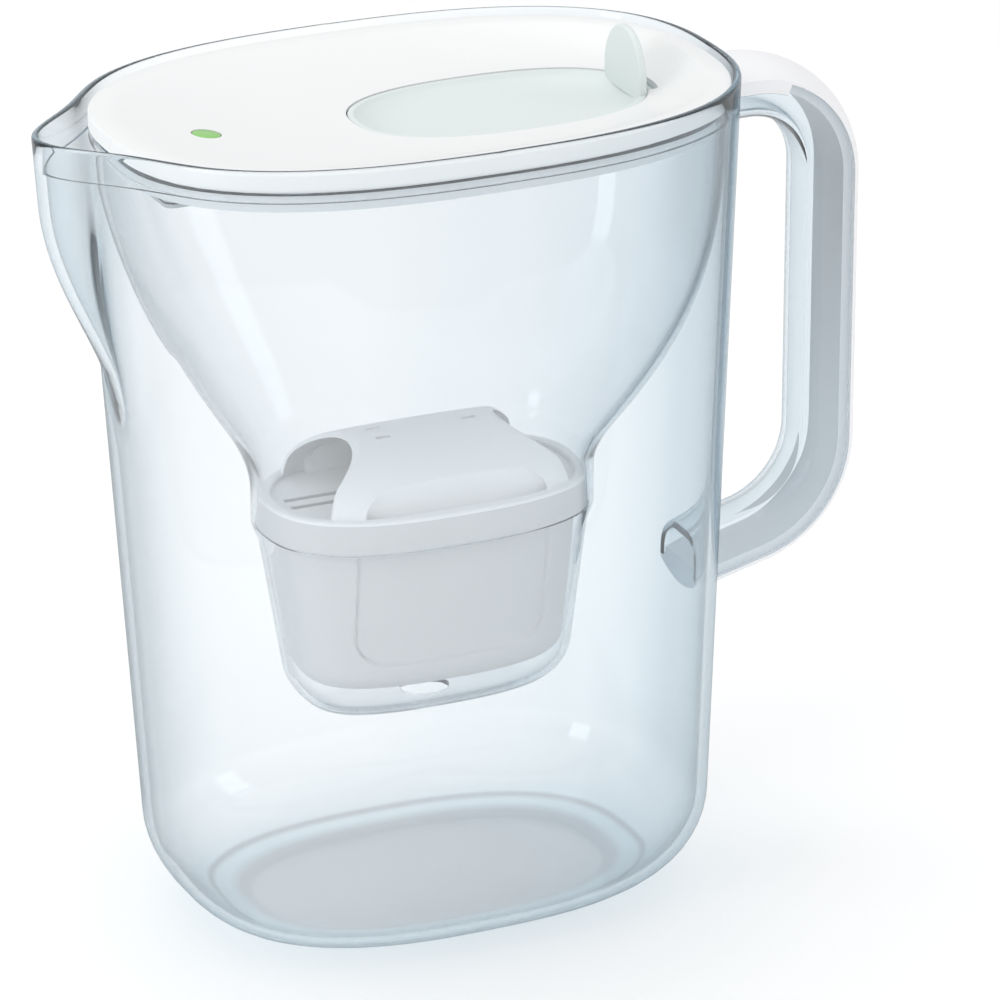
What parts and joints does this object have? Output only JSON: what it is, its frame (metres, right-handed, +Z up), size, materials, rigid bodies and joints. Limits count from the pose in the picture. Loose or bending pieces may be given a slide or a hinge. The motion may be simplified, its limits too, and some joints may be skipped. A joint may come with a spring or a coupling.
{
  "type": "water filter pitcher",
  "caption": "Clear oval pitcher with a spout and a loop handle, a hanging hopper that holds a filter cartridge, and a dished lid with a hinged fill flap and an indicator button.",
  "frame": {"origin": "on the plane of the foot, below the centre of the mouth's oval", "axes": "+Z up, -X towards the spout, +X towards the handle, Y across"},
  "size_m": [0.2778, 0.1386, 0.2818],
  "materials": {
    "clear_plastic": "polished clear styrene plastic",
    "hopper_plastic": "polished clear styrene plastic",
    "grip_plastic": "soft white",
    "lid_plastic": "satin white",
    "flap_plastic": "satin pale grey green",
    "button_plastic": "translucent green",
    "case_plastic": "grey",
    "board": "lacquered",
    "switch_plastic": "black",
    "led": "clear resin",
    "contact_steel": "nickel plated",
    "cell_steel": "plated",
    "seal_rubber": "matte",
    "cartridge_plastic": "white",
    "screen_mesh": "fine white mesh",
    "granules": "packed granules"
  },
  "bodies": {
    "pitcher": {"jug": "clear_plastic", "handle_frame": "clear_plastic", "handle_grip": "grip_plastic"},
    "funnel": {"hopper": "hopper_plastic"},
    "lid": {"lid_cover": "lid_plastic", "lid_base": "lid_plastic", "indicator_case": "case_plastic", "circuit_board": "board", "button_switch": "switch_plastic", "indicator_led": "led", "battery_contacts": "contact_steel", "battery_cell": "cell_steel", "case_seal": "seal_rubber", "case_cover": "case_plastic"},
    "flap": {"fill_flap": "flap_plastic"},
    "button": {"indicator_button": "button_plastic"},
    "cartridge": {"cartridge_cup": "cartridge_plastic", "cartridge_cap": "cartridge_plastic", "inlet_screen": "screen_mesh", "filter_media": "granules", "outlet_screen": "screen_mesh"}
  },
  "joints": [
    {"name": "hopper_lift", "type": "slide", "parent": "pitcher", "child": "funnel", "axis": [0, 0, 1], "range_m": [0, 0.21]},
    {"name": "lid_lift", "type": "slide", "parent": "funnel", "child": "lid", "axis": [0, 0, 1], "range_m": [0, 0.06]},
    {"name": "flap_hinge", "type": "hinge", "parent": "lid", "child": "flap", "pos_m": [0.0816, 0, 0.2593], "axis": [0, 1, 0], "range_deg": [0, 60]},
    {"name": "button_press", "type": "slide", "parent": "lid", "child": "button", "axis": [0, 0, -1], "range_m": [0, 0.0008], "stiffness_N_per_m": 600, "springref_m": -0.0005},
    {"name": "cartridge_lift", "type": "slide", "parent": "funnel", "child": "cartridge", "axis": [0, 0, 1], "range_m": [0, 0.08]}
  ]
}
